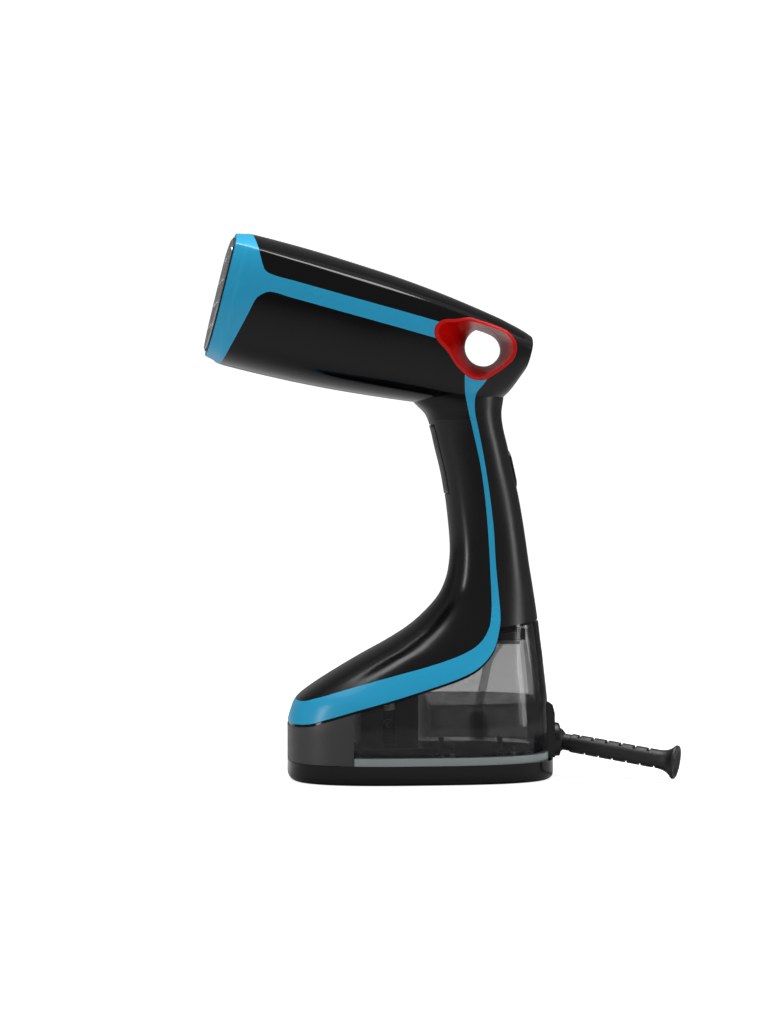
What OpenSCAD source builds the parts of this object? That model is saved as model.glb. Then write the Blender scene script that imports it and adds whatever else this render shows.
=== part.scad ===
// Hand-held garment steamer that stands on its own water tank.
// X runs from the steam head (-X) to the cord outlet (+X), Y across, Z up, millimetres.
// The origin is on the standing surface, at the middle of the base.

/* [Base] */
// Length of the base, front to back
base_l = 141; // [125:1:170]
// Width of the base
base_w = 84; // [74:1:100]
// Height of the glossy pan under the tank
pan_h = 10.3; // [8.5:0.1:12.5]
// Height of the pale seal between the pan and the tank
seal_h = 4; // [3:0.1:5]
// How far the front panel reaches back from the front of the base
panel_depth = 31.5; // [26:0.5:38]

/* [Handle] */
// Width of the grip across the hand
grip_w = 37; // [31:0.5:44]
// Depth of the grip, front to back
grip_d = 38.5; // [34:0.5:43]
// Wall thickness of the moulded shells
wall = 2.6; // [2:0.1:3.2]

/* [Head] */
// Distance from the hanging hole to the front of the steam face
head_reach = 143; // [125:1:165]
// Width of the head at the collar
head_w = 84; // [74:1:96]
// Width of the head at the hanging hole
tail_w = 53; // [47:1:60]
// Height of the hanging hole's centre above the table
head_z = 227.4; // [222:0.2:236]
// How far the steam face tips up
head_tilt = 14; // [11:0.5:17]
// Width of the hanging hole at its throat
throat_d = 20; // [16:0.5:22]

/* [Trim] */
// Width of the blue band along the head
band_w = 8.6; // [6:0.2:11]
// Gap between pieces that move past each other
gap = 0.3; // [0.25:0.05:0.5]

/* [Steam parts] */
// Length of the cast boiler
boiler_l = 44; // [38:1:52]
// Diameter of the steam holes in the face plate
steam_hole_d = 3; // [2:0.1:4]
// Diameter of the pump
pump_d = 20; // [16:0.5:23]

/* [Cord outlet] */
// Diameter of the lead that the boot takes
lead_d = 6; // [5:0.1:6.6]
// Diameter of the swivel ball
ball_d = 15; // [13.5:0.1:16]
// Length of the boot from the ball's centre to the flare
boot_l = 68; // [56:1:80]
// Sideways swing of the boot at rest
boot_swing = 25; // [0:1:30]

/* [Hidden] */
$fn = 48;

// Colours of the moulded and metal parts
black = [0.06, 0.06, 0.065];
satin = [0.13, 0.13, 0.13];
blue = [0.12, 0.56, 0.7];
red = [0.62, 0.02, 0.02];
steel = [0.7, 0.71, 0.72];
smoke = [0.35, 0.35, 0.36, 0.5];

// Driving lines that the pieces share
half_l = base_l / 2;
half_w = base_w / 2;
grip_hw = grip_w / 2;
panel_x = -half_l + panel_depth;
tank_floor = pan_h + seal_h;
seam_z = 189;
grip_top = 201;
spine_hw = 12;
niche_d = 4.4;
trim_end = 84;
far = 90;

// The pan's lines from its underside up: height, front, back, half width, squareness
pan_z = 0;
pan_line = [
    [pan_z, -half_l + 2.6, half_l - 3, half_w - 2.6, 2.9],
    [pan_z + 1, -half_l + 1, half_l - 1.4, half_w - 1, 2.9],
    [pan_z + 3.4, -half_l, half_l - 0.5, half_w, 2.9],
    [pan_h, -half_l, half_l - 0.5, half_w, 2.9]
];

// Body lines from the pan up: height, front, back, half width, squareness
grip_x = 15.5;
tank_back = half_l - 3.2;
body_line = [
    [4, -half_l, tank_back, half_w, 2.9],
    [20, -half_l, tank_back, half_w, 2.9],
    [29, -half_l, tank_back, half_w, 2.9],
    [36, -half_l + 1.6, tank_back - 0.2, half_w - 0.6, 2.85],
    [43, -half_l + 5, half_l - 3.8, half_w - 1.4, 2.8],
    [50, -half_l + 14, half_l - 4.5, half_w - 2.8, 2.7],
    [57, -half_l + 25, half_l - 5.2, half_w - 4.6, 2.6],
    [65, -half_l + 38.5, half_l - 6, half_w - 7.4, 2.5],
    [73, -half_l + 53, half_l - 7, half_w - 10.4, 2.4],
    [82, -half_l + 66.5, half_l - 8, half_w - 13.6, 2.35],
    [94, grip_x - 7.4, grip_x + grip_d + 6.6, grip_hw + 5.4, 2.3],
    [104, grip_x - 2.2, grip_x + grip_d + 5, grip_hw + 2.9, 2.3],
    [114, grip_x - 0.1, grip_x + grip_d + 3.4, grip_hw + 1.4, 2.3],
    [124, grip_x + 0.2, grip_x + grip_d + 2, grip_hw + 0.6, 2.3],
    [137, grip_x - 0.9, grip_x + grip_d, grip_hw + 0.1, 2.3],
    [150, grip_x - 2.5, grip_x + grip_d - 2.4, grip_hw, 2.3],
    [162, grip_x - 4.6, grip_x + grip_d - 5.2, grip_hw, 2.3],
    [175, grip_x - 7.8, grip_x + grip_d - 8, grip_hw, 2.3],
    [184, grip_x - 9.9, grip_x + grip_d - 10.2, grip_hw + 0.2, 2.3],
    [192, grip_x - 13, grip_x + grip_d - 11.2, grip_hw + 0.7, 2.3],
    [200, grip_x - 20, grip_x + grip_d - 10.2, grip_hw + 1.6, 2.3],
    [212, grip_x - 20, grip_x + grip_d - 9, grip_hw + 1.6, 2.3]
];

// Head lines from the collar back, in the head's own frame: place, top, belly, half width, crease
front_w = head_w / 2;
back_w = tail_w / 2;
head_line = [
    [-head_reach + 1.5, 24.9, -40.5, front_w - 2, 17.6],
    [-head_reach + 6, 25.9, -41.6, front_w - 0.8, 17.5],
    [-head_reach + 12, 26.7, -43, front_w, 17.2],
    [-head_reach + 40, 26.5, -42.8, front_w - 2, 16.2],
    [-77, 25.4, -41.7, front_w - 4.8, 15.2],
    [-51, 23.7, -39.6, (2 * front_w + back_w) / 3 - 1.4, 14.1],
    [-25, 20.9, -36.9, (front_w + 3 * back_w) / 4, 12.4],
    [0, 17.1, -34, back_w, 10],
    [10, 15, -29, back_w - 1, 8.6],
    [17, 13.2, -21.5, back_w - 2, 7.5],
    [22, 11.4, -9, back_w - 3, 6.4]
];

// Edges of the blue trim in side view, from the hanging hole down and round to the base front
trim_front = [
    [20, 215], [20.6, 205], [22.8, 194], [25.4, 183], [29.1, 166.5], [31.7, 149], [33.3, 131.5],
    [34.2, 114.5], [34.6, 97], [34.1, 88], [32.4, 80], [27, 72.5], [17.6, 67], [2.3, 61.8],
    [-17.6, 56.4], [-37.6, 50.7], [-56.5, 44.6], [-67, 41.8], [-far, 41]
];
trim_back = [
    [34, 215], [31.5, 208.8], [27, 202.5], [26.3, 194], [28.5, 183], [31.7, 166.5], [34.4, 149],
    [36.4, 131.5], [37.3, 114.5], [38.5, 97], [38.9, 87], [38.1, 80], [34.8, 69.5], [27.2, 61],
    [17.2, 55.6], [2.1, 50.5], [-17.8, 44.4], [-37.7, 38.7], [-54, 33.6], [-64.1, 30.8], [-far, 29]
];

// ---- Curves and lofted shells ----

// A smooth curve through a list of points, with some steps to each span
function spline(p, steps = 3) = let (n = len(p)) concat(
    [for (i = [0:n - 2], s = [0:steps - 1])
        let (a = p[max(i - 1, 0)], b = p[i], c = p[i + 1], d = p[min(i + 2, n - 1)], t = s / steps)
        0.5 * (2 * b + (c - a) * t + (2 * a - 5 * b + 4 * c - d) * t * t
            + (3 * b - a - 3 * c + d) * t * t * t)],
    [p[n - 1]]);

function sgn_pow(v, e) = sign(v) * pow(abs(v), e);

// One level of the body: a squared oval between its front and back, inset by the wall
function body_ring(row, inset, sides = 32) = [
    for (k = [0:sides - 1])
        let (t = 360 * (k + 0.5) / sides, e = 2 / row[4])
        [(row[1] + row[2]) / 2 + ((row[2] - row[1]) / 2 - inset) * sgn_pow(cos(t), e),
            (row[3] - inset) * sgn_pow(sin(t), e), row[0]]];

// One station of the head: a deep belly, leaning flanks, and a low roof above a crease
function head_ring(row, inset) = let (
    w = row[3] - inset, top = row[1] - inset, belly = row[2] + inset,
    crease = row[4] - inset * 0.8, mid = min(3, row[4] - 4), cw = w - 2.4, n = 2 / 2.7)
    concat(
        [for (k = [0:16]) let (t = -180 * k / 16)
            [row[0], -w * sgn_pow(cos(t), n), mid + (mid - belly) * sgn_pow(sin(t), n)]],
        [for (k = [0:10]) let (u = k / 5 - 1)
            [row[0], -cw * u, crease + (top - crease) * (1 - pow(abs(u), 2.4))]]);

// The outline of the steam face, drawn in from the collar's lip by an inset
module face_slab(x0, x1, inset) {
    row = head_line[0];
    loft([for (x = [x0, x1]) head_ring([x, row[1], row[2], row[3], row[4]], inset)]);
}

// A round tube or rod swept along a smooth route
function unit(v) = v / norm(v);
module swept(points, r, sides = 8) {
    q = spline(points, 2);
    n = len(q);
    loft([for (i = [0:n - 1])
        let (t = unit(q[min(i + 1, n - 1)] - q[max(i - 1, 0)]), u = unit(cross(t, [0, 1, 0.01])),
            v = cross(u, t))
        [for (k = [0:sides - 1]) q[i] + r * (u * cos(360 * k / sides) + v * sin(360 * k / sides))]]);
}

// A closed solid through a list of rings that all have the same number of points
module loft(rings) {
    m = len(rings[0]);
    n = len(rings);
    polyhedron(
        points = [for (r = rings) each r],
        faces = concat(
            [[for (k = [0:m - 1]) k]],
            [for (i = [0:n - 2], k = [0:m - 1]) let (a = i * m + k, b = i * m + (k + 1) % m)
                each [[a, a + m, b], [b, a + m, b + m]]],
            [[for (k = [m - 1:-1:0]) (n - 1) * m + k]]));
}

// The lofted base and handle between two heights
module body_form(inset, z0, z1) {
    rows = [for (r = body_line) if (r[0] >= z0 - 0.01 && r[0] <= z1 + 0.01) r];
    loft([for (r = rows) body_ring(r, inset)]);
}

module head_form(inset, x0, x1) {
    rows = [for (r = head_line) if (r[0] >= x0 - 0.01 && r[0] <= x1 + 0.01) r];
    loft([for (r = rows) head_ring(r, inset)]);
}

// Carries children from the head's own frame to the part's frame
hole_x = 33.8;
module at_head() {
    translate([hole_x, 0, head_z])
        rotate([0, head_tilt, 0])
            children();
}

// A side-view outline in X and Z carried across the whole width, or from y0 to y1
module side(points, y0 = -60, y1 = 60) {
    translate([0, y1, 0])
        rotate([90, 0, 0])
            linear_extrude(height = y1 - y0)
                polygon(points);
}

// Everything between two heights
module slab(z0, z1) {
    translate([-far, -60, z0])
        cube([2 * far, 120, z1 - z0]);
}

// A round bar along Y
module bar(x, z, r, y0, y1) {
    translate([x, y1, z])
        rotate([90, 0, 0])
            cylinder(h = y1 - y0, r = r);
}

// A compression spring drawn as a stack of rings along +Z
module spring_rings(r, wire, length, turns) {
    for (i = [0:turns - 1])
        translate([0, 0, wire / 2 + i * (length - wire) / (turns - 1)])
            rotate_extrude()
                translate([r, 0])
                    circle(d = wire);
}

function reversed(p) = [for (i = [len(p) - 1:-1:0]) p[i]];
front_edge = spline(trim_front);
back_edge = spline(trim_back);

// Where the front and back of the handle are at a height
function line_at(z, col) = lookup(z, [for (r = body_line) [r[0], r[col]]]);
function front_at(z) = line_at(z, 1);
function back_at(z) = line_at(z, 2);

// ---- Side-view regions ----

// The trim band between its two edges
trim_region = concat(front_edge, reversed(back_edge));
// Ahead of and above the trim
front_region = concat(front_edge, [[-far, 215]]);
// Behind the trim, down to the seam that the tank meets
rear_region = concat(
    [for (q = back_edge) if (q[1] > 80.5 && q[1] < grip_top) q],
    [[38.1, 80.5], [far, trim_end + 4], [far, grip_top - 2], [44, grip_top - 0.6], [36, grip_top]]);
// Below the trim and the rear shell: the tank's side, under a lip of its own
lip = 1.4;
lip_line = concat([[far, trim_end + 4], [38.1, 80.5]], [for (q = back_edge) if (q[1] < 80.5) q]);
function lowered(p, d) = [for (q = p) q - [0, d]];
lip_region = concat(lip_line, reversed(lowered(lip_line, lip)));
function under_lip(d) = concat(lowered(lip_line, lip + d), [[-far, 0], [far, 0]]);

// The head's bands: the collar's back edge, and the top and bottom of its arms
arm_end = -26;
function band_mid(x) = 2 - (x + 121) * 0.016;
function band_top(x) = band_mid(x) + band_w / 2;
function band_low(x) = band_mid(x) - band_w / 2;
collar_x = -head_reach;
upper_corner = [[collar_x + 15, 14.5], [collar_x + 17.3, 10.2], [collar_x + 19.6, 7.4],
    [collar_x + 24, band_top(collar_x + 24)]];
lower_corner = [[arm_end, band_top(arm_end)], [arm_end, band_low(arm_end)],
    [collar_x + 24.5, band_low(collar_x + 24)], [collar_x + 19.8, -5.4], [collar_x + 17.8, -8.6],
    [collar_x + 16.2, -15.5], [collar_x + 13.3, -27.5], [collar_x + 11.3, -36],
    [collar_x + 9, -46], [collar_x + 7, -55]];
collar_region = concat([[collar_x, -55], [collar_x, 55], [collar_x + 9.5, 55],
    [collar_x + 9.5, 26]], upper_corner, lower_corner);
band_seam = -52;
crease_line = [for (r = head_line) if (r[0] > collar_x + 12.5 && r[0] < 20) [r[0], r[4] - 0.1]];
roof_region = concat([[collar_x + 13.7, 17.2]], crease_line,
    [[17, 55], [collar_x + 9.5, 55], [collar_x + 9.5, 26]]);
band_region = concat(
    [[collar_x + 13.7, 17.2]],
    [for (q = crease_line) if (q[0] < band_seam) q],
    [[band_seam, 14.02], [band_seam, band_top(band_seam)]],
    reversed(upper_corner));

// All of the head that isn't the barrel: the collar with its arms, the side bands and the roof
upper_region = concat(
    [[collar_x - 5, -55], [collar_x - 5, 55], [17, 55]],
    reversed([for (q = crease_line) if (q[0] > band_seam) q]),
    [[band_seam, 14], [band_seam, band_top(band_seam)]],
    lower_corner);
// Behind the line, under the trim, where the barrel meets the tail
tail_region = [[24, 100], [24, 190], [22, 205], [22, 270], [120, 270], [120, 100]];
fore_region = [[24, 100], [24, 190], [22, 205], [22, 270], [-150, 270], [-150, 100]];

// ---- Hanging hole ----

throat_c = [-0.5, -0.5];
eye_out = back_w + 3;
ring_wall = 1.8;

// A thin slice of the teardrop at a distance from the middle plane. The head is wider at the
// teardrop's tip, so the tip's circle stands further out
tip_out = 5;
module eye_slice(y, shrink) {
    for (c = [[-25.5, 0.8, 5.6, tip_out], [-13, 0, 9.7, 0], [4, -0.5, 8.4, 0], [-4, -10.3, 8.6, 0]])
        bar(c[0], c[1], c[2] - shrink, y + c[3], y + c[3] + 0.5);
}

// The funnel on one side, from the teardrop in to the throat
module eye_funnel(shrink) {
    hull() {
        eye_slice(eye_out, shrink - 2.4);
        bar(throat_c[0], throat_c[1], throat_d / 2 + ring_wall - shrink, 2.5, 3);
    }
    bar(throat_c[0], throat_c[1], throat_d / 2 + ring_wall - shrink, -0.01, 3);
}

module eye_hole() {
    at_head() {
        eye_funnel(0);
        mirror([0, 1, 0])
            eye_funnel(0);
    }
}

// One red half of the ring, on the +Y side
module ring_half() {
    at_head()
        difference() {
            intersection() {
                eye_funnel(0);
                head_form(0, collar_x + 12, 22);
                side([[-60, -60], [60, -60], [60, 60], [-60, 60]], 0.05, 60);
            }
            eye_funnel(ring_wall);
        }
}

// ---- Head ----

front_x = -head_reach;
plate_t = 2.6;
plate_screw_z = [-29, 15];

module steam_plate() {
    color(steel)
        at_head()
            difference() {
                face_slab(front_x, front_x + plate_t, 3.4);
                for (row = [0:3], k = [-3 + row % 2 * 0.5:3 - row % 2 * 0.5])
                    translate([front_x - 1, k * 9, -24 + row * 12])
                        rotate([0, 90, 0])
                            cylinder(h = plate_t + 2, d = steam_hole_d);
                for (y = [-1, 1], z = plate_screw_z)
                    translate([front_x + 1, y * 20, z])
                        rotate([0, 90, 0])
                            cylinder(h = plate_t, d = screw_d);
            }
}

module plate_seal() {
    color("dimgray")
        at_head()
            difference() {
                face_slab(front_x + 0.6, front_x + plate_t, 2.3);
                face_slab(front_x, front_x + plate_t + 1, 3.4);
            }
}

module front_collar() {
    color(blue)
        difference() {
            at_head()
                difference() {
                    intersection() {
                        head_form(0, front_x + 1.5, 0);
                        side(collar_region);
                    }
                    head_form(wall - 0.3, front_x + 1.5, 0);
                    face_slab(front_x, front_x + 3, 2.3);
                }
            eye_hole();
        }
}

// The neck that joins the head to the handle
module neck_form(inset) {
    body_form(inset, 184, 212);
}

// The moulded body of the head with its neck, less everything that is let into it
module head_body() {
    difference() {
        union() {
            at_head()
                head_form(0, front_x + 6, 22);
            intersection() {
                neck_form(0);
                slab(seam_z, 213);
            }
        }
        at_head()
            head_form(wall, front_x + 6, 17);
        neck_form(wall);
        at_head()
            side(upper_region);
        side(trim_region);
        side(rear_region);
        eye_hole();
        at_rocker()
            rocker_well(gap);
    }
}

module barrel_shell() {
    color(black)
        difference() {
            head_body();
            side(tail_region);
        }
}

module tail_shell() {
    color(black)
        difference() {
            head_body();
            side(fore_region);
            at_head()
                side([[-60, 3], [-60, 40], [4, 40], [4, 3]]);
        }
}

module roof_panel() {
    color(black)
        difference() {
            at_head()
                difference() {
                    intersection() {
                        head_form(0, front_x + 6, 22);
                        side(roof_region);
                    }
                    head_form(wall, front_x + 6, 22);
                }
            eye_hole();
            at_rocker()
                rocker_well(gap);
        }
}

module side_band(y0, y1) {
    color(black)
        at_head()
            difference() {
                intersection() {
                    head_form(0, front_x + 6, 22);
                    side(band_region, y0, y1);
                }
                head_form(wall, front_x + 6, 22);
            }
}

module side_band_left() {
    side_band(-60, 0);
}

module side_band_right() {
    side_band(0, 60);
}

module ring_left() {
    color(red)
        mirror([0, 1, 0])
            ring_half();
}

module ring_right() {
    color(red)
        ring_half();
}

// The rocker turns about this line inside the tail
rocker_c = [16.5, 2.4];
rocker_r = 8.2;
rocker_hw = 7;
module at_rocker() {
    at_head()
        translate([rocker_c[0], 0, rocker_c[1]])
            children();
}

module rocker_well(clear) {
    bar(0, 0, rocker_r + clear, -rocker_hw - clear, rocker_hw + clear);
}

module power_rocker() {
    color(black)
        at_rocker()
            intersection() {
                rocker_well(0);
                side([[1.5, -9], [5, -9], [6.4, -6.6], [5.6, 0], [7, 6.6], [5, 9], [1.5, 9]]);
            }
}

// Boiler, with its front flange behind the plate
boiler_x = front_x + plate_t;
boiler_hw = 27;
boiler_z0 = -26;
boiler_z1 = 10;
flange_t = 3;
screw_d = 3;

module boiler() {
    color("silver")
        at_head()
            difference() {
                union() {
                    face_slab(boiler_x, boiler_x + flange_t, 5.5);
                    translate([boiler_x, -boiler_hw, boiler_z0])
                        cube([boiler_l, 2 * boiler_hw, boiler_z1 - boiler_z0]);
                }
                translate([boiler_x - 1, -boiler_hw + 5, boiler_z0 + 5])
                    cube([boiler_l - 7, 2 * boiler_hw - 10, boiler_z1 - boiler_z0 - 12]);
                for (y = [-1, 1], z = plate_screw_z)
                    translate([boiler_x - 1, y * 20, z])
                        rotate([0, 90, 0])
                            cylinder(h = flange_t + 2, d = screw_d);
            }
}

module boiler_screws() {
    color("gray")
        at_head()
            for (y = [-1, 1], z = plate_screw_z)
                translate([front_x + 1, y * 20, z])
                    rotate([0, 90, 0]) {
                        cylinder(h = plate_t - 1 + flange_t, d = screw_d);
                        translate([0, 0, plate_t - 1 + flange_t])
                            cylinder(h = 2, d = 2 * screw_d - 1);
                    }
}

heater_r = 3;
heater_bend = 16;
module heater_tube() {
    color("darkgray")
        at_head()
            translate([boiler_x + 30, 0, boiler_z1 + heater_r]) {
                rotate([0, 0, 90])
                    rotate_extrude(angle = 180)
                        translate([heater_bend, 0])
                            circle(r = heater_r);
                for (y = [-1, 1])
                    translate([0, y * heater_bend, 0])
                        rotate([0, 90, 0]) {
                            cylinder(h = 18, r = heater_r);
                            cylinder(h = 23, r = 1.2);
                        }
            }
}

module thermostat() {
    color("gainsboro")
        at_head()
            translate([boiler_x + boiler_l, 10, -2])
                rotate([0, 90, 0]) {
                    cylinder(h = 5, d = 17);
                    cylinder(h = 8, d = 11);
                }
}

module thermal_fuse() {
    color("white")
        at_head()
            translate([boiler_x + 24, 0, boiler_z1 + 2.2])
                rotate([0, 90, 0]) {
                    cylinder(h = 14, d = 4.4);
                    translate([0, 0, -4])
                        cylinder(h = 22, d = 1.2);
                }
}

hose_r = 3;
hose_bend = -37.8;
hose_end = boiler_x + boiler_l + 1.7;
function hose_point(share, z) =
    let (x = hose_end + (hose_bend - hose_end) * share)
    [hole_x + x * cos(head_tilt) + z * sin(head_tilt), -10,
        head_z - x * sin(head_tilt) + z * cos(head_tilt)];
module steam_hose() {
    color("lightgray")
        swept([[-19, -24, 38], [-18, -24, 47], [-4, -22, 60], [18, -14, 76], [32, -10, 96],
            [35.5, -10, 120], [33, -10, 150], [28, -10, 176], [20, -10, 194], [6, -10, 204],
            hose_point(1, -21.2), hose_point(0.55, -9), hose_point(0.21, -6.6),
            hose_point(0, -6.1)], hose_r);
}

// ---- Handle ----

screw_z = [106, 138];
boss_r = 4.2;
boss_x = 34;

module handle_front() {
    color(satin)
        difference() {
            union() {
                difference() {
                    intersection() {
                        body_form(0, 29, 192);
                        side(front_region);
                        slab(25, seam_z);
                    }
                    body_form(wall, 29, 192);
                }
                for (z = screw_z)
                    translate([front_at(z) + wall / 2, 0, z])
                        rotate([0, 90, 0])
                            cylinder(h = boss_x - front_at(z) - wall / 2, r = boss_r);
                intersection() {
                    body_form(wall / 2, 150, 192);
                    for (y = [-1, 1])
                        translate([trigger_c[0] - 6, y * 10.2 - 1.2, trigger_c[1] - 3])
                            cube([9, 2.4, 6]);
                }
            }
            for (z = screw_z)
                translate([front_at(z) + 5, 0, z])
                    rotate([0, 90, 0])
                        cylinder(h = 60, d = screw_d);
            bar(trigger_c[0], trigger_c[1], pin_r, -14, 14);
            trigger_window(gap);
        }
}

module handle_rear() {
    color(satin)
        difference() {
            union() {
                difference() {
                    intersection() {
                        body_form(0, 73, 212);
                        side(rear_region);
                    }
                    body_form(wall, 73, 212);
                }
                for (z = screw_z)
                    translate([boss_x, 0, z])
                        rotate([0, 90, 0])
                            cylinder(h = back_at(z) - boss_x - wall / 2, r = boss_r);
            }
            for (z = screw_z) {
                translate([boss_x - 1, 0, z])
                    rotate([0, 90, 0])
                        cylinder(h = 60, d = screw_d + 0.2);
                translate([boss_x + 8, 0, z])
                    rotate([0, 90, 0])
                        cylinder(h = 60, d = 2 * screw_d + 0.4);
            }
            at_button()
                button_block(6 + gap, 10 + gap, -6, 6);
        }
}

module handle_screws() {
    color("gray")
        for (z = screw_z)
            translate([boss_x - 14, 0, z])
                rotate([0, 90, 0]) {
                    cylinder(h = 22, d = screw_d);
                    translate([0, 0, 22])
                        cylinder(h = 2.4, d = 2 * screw_d);
                }
}

// A stretch of the blue trim on the handle and base
module trim_skin(z0, z1) {
    difference() {
        intersection() {
            union() {
                neck_form(0);
                at_head()
                    head_form(0, -51, 22);
            }
            side(trim_region);
            slab(z0, z1);
        }
        neck_form(wall);
        at_head()
            head_form(wall, -51, 22);
        eye_hole();
    }
}

module trim_upper(y0) {
    color(blue)
        intersection() {
            trim_skin(seam_z, 213);
            translate([-far, y0, 100])
                cube([2 * far, 60, 150]);
        }
}

module trim_upper_left() {
    trim_upper(-60);
}

module trim_upper_right() {
    trim_upper(0);
}

module trim_lower() {
    color(blue)
        difference() {
            intersection() {
                body_form(0, 29, 192);
                side(trim_region);
                slab(20, seam_z);
            }
            body_form(wall, 29, 192);
        }
}

// Trigger: a narrow paddle let into the front of the grip
trigger_z = [150, 186];
trigger_hw = 8;
trigger_c = [front_at(182) + 6.4, 182];
pin_r = 1.25;
trigger_face = [for (z = [trigger_z[0]:4:trigger_z[1]]) [front_at(z) - 0.5, z]];

module trigger_window(clear) {
    side(concat([for (z = trigger_z) [front_at(z) - 20, z + (z > 160 ? clear : -clear)]],
        [[front_at(trigger_z[1]) + 9, trigger_z[1] + clear],
            [front_at(trigger_z[0]) + 7, trigger_z[0] - clear]]),
        -trigger_hw - clear, trigger_hw + clear);
}

module trigger() {
    color(black)
        difference() {
            union() {
                side(concat(trigger_face, [[front_at(186) + 3.6, 186], [front_at(180) + 3.4, 180],
                    [front_at(150) + 3.4, 150]]), -trigger_hw, trigger_hw);
                bar(trigger_c[0], trigger_c[1], 3.4, -trigger_hw, trigger_hw);
            }
            bar(trigger_c[0], trigger_c[1], pin_r + 0.06, -20, 20);
            bar(trigger_c[0], trigger_c[1], 3.8, -3, 3);
        }
}

module trigger_pin() {
    color("gray")
        bar(trigger_c[0], trigger_c[1], pin_r, -11.4, 11.4);
}

module trigger_spring() {
    color("silver")
        translate([trigger_c[0], -2.4, trigger_c[1]])
            rotate([-90, 0, 0])
                spring_rings(2.4, 0.9, 4.8, 5);
}

module microswitch() {
    color("dimgray")
        translate([front_at(156) + 9.5, -3.2, 150]) {
            cube([10, 6.4, 20]);
            translate([-1.2, 1.7, 6])
                cube([1.2, 3, 3]);
        }
}

// Rear button, square to the back of the grip
button_z = 162.8;
button_lean = 12.5;
module at_button() {
    translate([back_at(button_z), 0, button_z])
        rotate([0, -button_lean, 0])
            children();
}

// A block with rounded ends, seen square to the back of the grip
module button_block(hw, hh, x0, x1) {
    for (z = [-1, 1])
        translate([x0, 0, z * (hh - hw)])
            rotate([0, 90, 0])
                cylinder(h = x1 - x0, r = hw);
    translate([x0, -hw, hw - hh])
        cube([x1 - x0, 2 * hw, 2 * (hh - hw)]);
}

module rear_button() {
    color(black)
        at_button() {
            button_block(6, 10, -6, 1);
            button_block(7.2, 11.2, -6, -4.4);
        }
}

// ---- Base ----

// The sloping deck that carries the shells, with a lip that shows all round
module chassis() {
    color(black)
        difference() {
            intersection() {
                body_form(0, 20, 94);
                side(lip_region);
            }
            bar_z(valve_x, 0, 5);
            bar_z(-19, 24, hose_r + 0.4);
            bar_z(-19, -24, hose_r + 0.4);
        }
}

// An upright hole through the deck or the tank's roof
module bar_z(x, y, r) {
    translate([x, y, 20])
        cylinder(h = 75, r = r);
}

board_tilt = 16.5;
module control_board() {
    color("darkgreen")
        translate([-12, 0, 54])
            rotate([0, -board_tilt, 0]) {
                translate([-22, -16, 0])
                    cube([44, 32, 1.6]);
                translate([-17, -12, 1.6])
                    cube([12, 10, 6]);
                translate([3, -3, 1.6])
                    cylinder(h = 8, d = 8);
                translate([8, 6, 1.6])
                    cube([9, 7, 5]);
                translate([-16, 4, 1.6])
                    cube([6, 8, 4]);
            }
}

module front_panel() {
    color("dimgray")
        difference() {
            intersection() {
                body_form(0, 4, 43);
                side(under_lip(0));
                translate([-far, -60, pan_h])
                    cube([far + panel_x, 120, 40]);
            }
            body_form(wall, 4, 43);
        }
}

// The spine behind the tank, from the rear shell down to the cord outlet
ball_r = ball_d / 2;
ball_x = tank_back - niche_d + 2 * gap + ball_r;
ball_z = pan_h + 1 + ball_r;
mouth_x = 3;
boss_wall = 1.6;
bracket_top = 40;

module niche(clear) {
    line = [for (z = [4:8:92]) [back_at(z) - niche_d + clear, z]];
    side(concat(line, [[far, 92], [far, 4]]), -spine_hw + clear, spine_hw - clear);
}

module rear_spine() {
    color(black)
        difference() {
            union() {
                intersection() {
                    niche(gap);
                    body_form(0, 29, 94);
                    side(under_lip(0));
                }
                intersection() {
                    niche(gap);
                    side([[50, pan_h + gap], [half_l - 0.2, pan_h + gap], [half_l - 0.4, 34],
                        [half_l - 1.6, 38.6], [tank_back - 0.4, bracket_top], [50, bracket_top]]);
                }
                intersection() {
                    translate([ball_x, 0, ball_z])
                        sphere(r = ball_r + gap + boss_wall);
                    translate([tank_back - niche_d + gap, -20, pan_h + gap])
                        cube([ball_x + mouth_x - tank_back + niche_d - gap, 40, 30]);
                }
            }
            translate([ball_x, 0, ball_z])
                sphere(r = ball_r + gap);
            side([[50, 33], [tank_back - 2, 33], [back_at(82) - 2, 82], [50, 82]], -8, 8);
            translate([50, 0, ball_z])
                rotate([0, 90, 0])
                    cylinder(h = 20, d = lead_d);
        }
}

// The boot rests its flare just clear of the table
flare_r = 8.9;
boot_r = 5;
boot_droop = asin((ball_z - flare_r - gap) / boot_l);
neck_end = 10;
ribs = 6;
rib_pitch = (boot_l - 26) / ribs;

module at_boot() {
    translate([ball_x, 0, ball_z])
        rotate([0, 0, -boot_swing])
            rotate([0, boot_droop, 0])
                rotate([0, 90, 0])
                    children();
}

module cord_ball() {
    color(black)
        at_boot()
            difference() {
                union() {
                    sphere(r = ball_r);
                    cylinder(h = neck_end, r = boot_r - 0.6);
                }
                translate([0, 0, -20])
                    cylinder(h = 40, d = lead_d + 1);
            }
}

module cord_boot() {
    color(black)
        at_boot()
            difference() {
                union() {
                    translate([0, 0, neck_end])
                        cylinder(h = boot_l - neck_end, r = boot_r);
                    translate([0, 0, boot_l - 7])
                        cylinder(h = 5, r1 = boot_r, r2 = flare_r);
                    translate([0, 0, boot_l - 2])
                        cylinder(h = 2, r = flare_r);
                }
                translate([0, 0, neck_end - 1])
                    cylinder(h = boot_l, d = lead_d + 0.2);
                for (i = [0:ribs - 1], half = [0, 1])
                    translate([half == 0 ? -boot_r - 1 : boot_r - 1.4, -boot_r, neck_end + 4
                        + (i + half / 2) * rib_pitch])
                        cube([2.4, 2 * boot_r, 1.8]);
            }
}

// Pump, hung under the deck in the tank's dry well
pump_c = [-19, 29.5];
pump_hl = 16;
cradle_x = [-34, -4];
cradle_hy = 24;

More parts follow.
